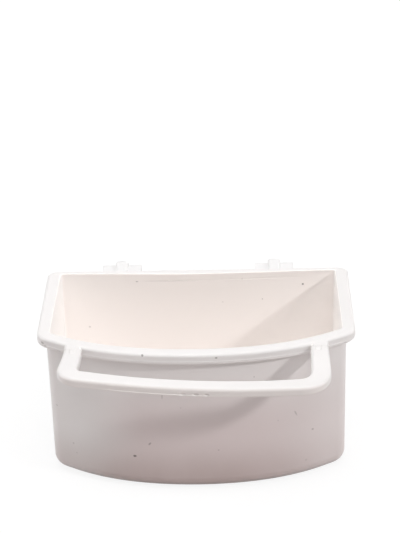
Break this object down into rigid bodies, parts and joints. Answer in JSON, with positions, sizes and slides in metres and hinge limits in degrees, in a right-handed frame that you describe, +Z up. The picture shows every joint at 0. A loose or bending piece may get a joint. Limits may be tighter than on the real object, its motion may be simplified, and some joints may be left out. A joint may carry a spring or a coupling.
{
  "type": "hook-on animal feed cup",
  "caption": "Open moulded feed cup with a bowed front, a rolled rim, a fold-up front bar on hinge pins, and slide-in hooks that hang it on cage wire.",
  "frame": {"origin": "underside of the flat base, midway between the front and the back of the mouth", "axes": "+X to the right seen from the bar side, +Y towards the cage hooks, +Z up"},
  "size_m": [0.1496, 0.1324, 0.0788],
  "materials": {
    "cup_plastic": "off-white moulded polypropylene, satin gloss, lightly soiled",
    "bar_plastic": "off-white moulded polypropylene, satin gloss",
    "hook_plastic": "off-white moulded polypropylene, satin gloss",
    "pin_steel": "drawn stainless wire"
  },
  "bodies": {
    "cup": {"feed_cup": "cup_plastic", "hinge_pin_left": "pin_steel", "hinge_pin_right": "pin_steel"},
    "bar": {"front_bar": "bar_plastic"},
    "hook_left": {"cage_hook_left": "hook_plastic"},
    "hook_right": {"cage_hook_right": "hook_plastic"}
  },
  "joints": [
    {"name": "bar_hinge", "type": "hinge", "parent": "cup", "child": "bar", "pos_m": [0, -0.03929, 0.07365], "axis": [-1, 0, 0], "range_deg": [0, 90]},
    {"name": "hook_left_slide", "type": "slide", "parent": "cup", "child": "hook_left", "axis": [0, 0, -1], "range_m": [0, 0.024]},
    {"name": "hook_right_slide", "type": "slide", "parent": "cup", "child": "hook_right", "axis": [0, 0, -1], "range_m": [0, 0.024]}
  ]
}
